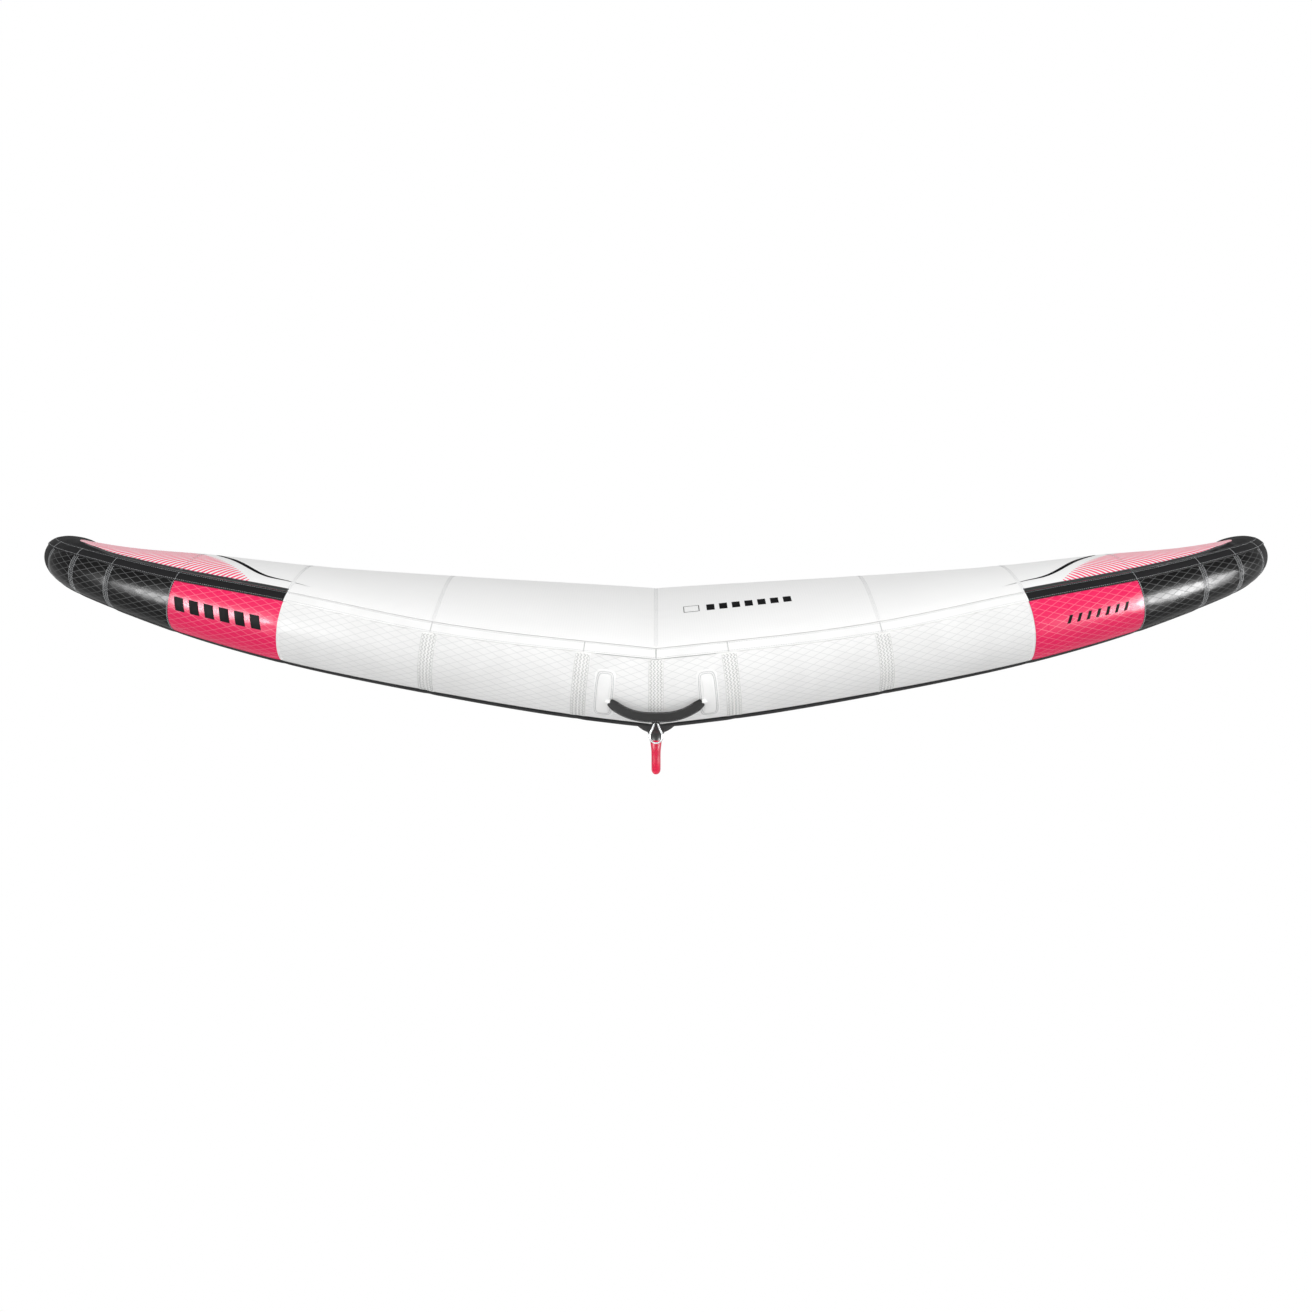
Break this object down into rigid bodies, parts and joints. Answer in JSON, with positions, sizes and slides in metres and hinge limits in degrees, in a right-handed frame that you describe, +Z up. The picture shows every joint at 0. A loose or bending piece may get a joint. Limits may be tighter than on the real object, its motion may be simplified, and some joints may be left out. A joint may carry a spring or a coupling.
{
  "type": "inflatable hand wing",
  "caption": "Inflatable hand-held wing: swept V leading-edge tube, single-skin canopy, centre strut with bent rigid grips, nose handle and leash ring.",
  "frame": {"origin": "middle of the front strut grip, where the hand holds the wing", "axes": "+X along the span, to the right seen from the front, -Y forward through the nose of the leading edge, +Z up through the canopy"},
  "size_m": [3.168, 1.9314, 0.6045],
  "materials": {
    "white_ripstop": "coated ripstop with a fine diamond grid",
    "pink_ripstop": "coated ripstop with a fine diamond grid",
    "black_ripstop": "coated ripstop with a pale diamond grid",
    "black_tape": "satin seam tape with stitching",
    "white_tape": "satin seam tape with stitching",
    "canopy_cloth": "thin coated ripstop with a pink hatch print near the tips",
    "bladder_film": "clear film",
    "pink_grip": "soft moulded grip",
    "black_plastic": "moulded",
    "steel": "polished",
    "black_webbing": "padded webbing",
    "hose": "translucent"
  },
  "bodies": {
    "wing": {"air_hose": "hose", "batten_pockets_l": "canopy_cloth", "batten_pockets_r": "canopy_cloth", "canopy_center_l": "canopy_cloth", "canopy_center_r": "canopy_cloth", "canopy_inner_l": "canopy_cloth", "canopy_inner_r": "canopy_cloth", "canopy_outer_l": "canopy_cloth", "canopy_outer_r": "canopy_cloth", "canopy_tip_l": "canopy_cloth", "canopy_tip_r": "canopy_cloth", "front_handle_feet": "black_plastic", "front_handle_grip": "pink_grip", "front_handle_screws": "steel", "hose_clip": "black_plastic", "hose_elbow_le": "black_plastic", "hose_elbow_strut": "black_plastic", "le_bladder": "bladder_film", "le_casing_inner_l": "white_ripstop", "le_casing_inner_r": "white_ripstop", "le_casing_mid_l": "white_ripstop", "le_casing_mid_r": "white_ripstop", "le_casing_nose_l": "white_ripstop", "le_casing_nose_r": "white_ripstop", "le_casing_outer_l": "black_ripstop", "le_casing_outer_r": "black_ripstop", "le_casing_tip_l": "black_ripstop", "le_casing_tip_r": "black_ripstop", "le_panel_pink_l": "pink_ripstop", "le_panel_pink_r": "pink_ripstop", "le_tip_cap_l": "black_tape", "le_tip_cap_r": "black_tape", "leash_tab": "black_webbing", "nose_handle_patch_l": "white_tape", "nose_handle_patch_r": "white_tape", "nose_patch_base_l": "white_tape", "nose_patch_base_r": "white_tape", "rear_handle_feet": "black_plastic", "rear_handle_grip": "pink_grip", "rear_handle_screws": "steel", "ring_tape_center": "white_tape", "ring_tape_l": "white_tape", "ring_tape_r": "white_tape", "scuff_strip_l": "black_tape", "scuff_strip_r": "black_tape", "seam_band_black_l": "black_tape", "seam_band_black_r": "black_tape", "seam_band_white_l": "white_tape", "seam_band_white_r": "white_tape", "strut_bladder": "bladder_film", "strut_casing": "white_ripstop", "strut_tail_cap": "black_tape", "strut_web": "canopy_cloth", "te_tape_l": "white_tape", "te_tape_r": "white_tape", "valve_base": "black_plastic"},
    "nose_handle": {"nose_handle_strap": "black_webbing"},
    "ring": {"leash_ring": "steel"},
    "cap": {"valve_cap": "black_plastic"},
    "lever": {"hose_clip_lever": "black_plastic"}
  },
  "joints": [
    {"name": "nose_handle_swing", "type": "hinge", "parent": "wing", "child": "nose_handle", "pos_m": [0, -0.53999, 0.18414], "axis": [-1, 0, 0], "range_deg": [0, 80]},
    {"name": "leash_ring_swing", "type": "hinge", "parent": "wing", "child": "ring", "pos_m": [0, -0.50177, 0.13022], "axis": [-1, 0, 0], "range_deg": [-38, 75]},
    {"name": "valve_cap_hinge", "type": "hinge", "parent": "wing", "child": "cap", "pos_m": [0.30008, -0.30981, 0.18555], "axis": [-0.986, -0.0897, -0.1404], "range_deg": [0, 150]},
    {"name": "clip_lever_hinge", "type": "hinge", "parent": "wing", "child": "lever", "pos_m": [0.08, -0.28548, 0.22384], "axis": [1, 0, 0], "range_deg": [0, 75]}
  ]
}
